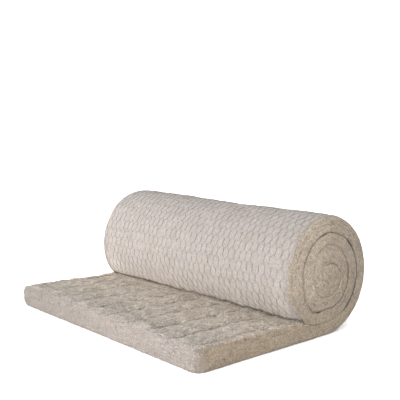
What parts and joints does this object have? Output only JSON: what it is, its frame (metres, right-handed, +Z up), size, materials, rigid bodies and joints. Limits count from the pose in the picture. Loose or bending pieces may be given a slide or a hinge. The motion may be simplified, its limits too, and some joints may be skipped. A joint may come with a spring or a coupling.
{
  "type": "insulation roll",
  "caption": "Partly unrolled mineral wool mat: wire netting stitched to its outer face, wound turns showing on the ends, free end lying flat in front of the roll.",
  "frame": {"origin": "on the floor, under the centre of the part's box", "axes": "+X along the roll's axis, -Y towards the flat free end of the mat, +Z up"},
  "size_m": [1, 0.7509, 0.3919],
  "materials": {
    "wool": "matte fibrous mineral wool",
    "wire": "dull galvanised wire"
  },
  "bodies": {
    "root": {"wool_mat": "wool"}
  },
  "joints": []
}
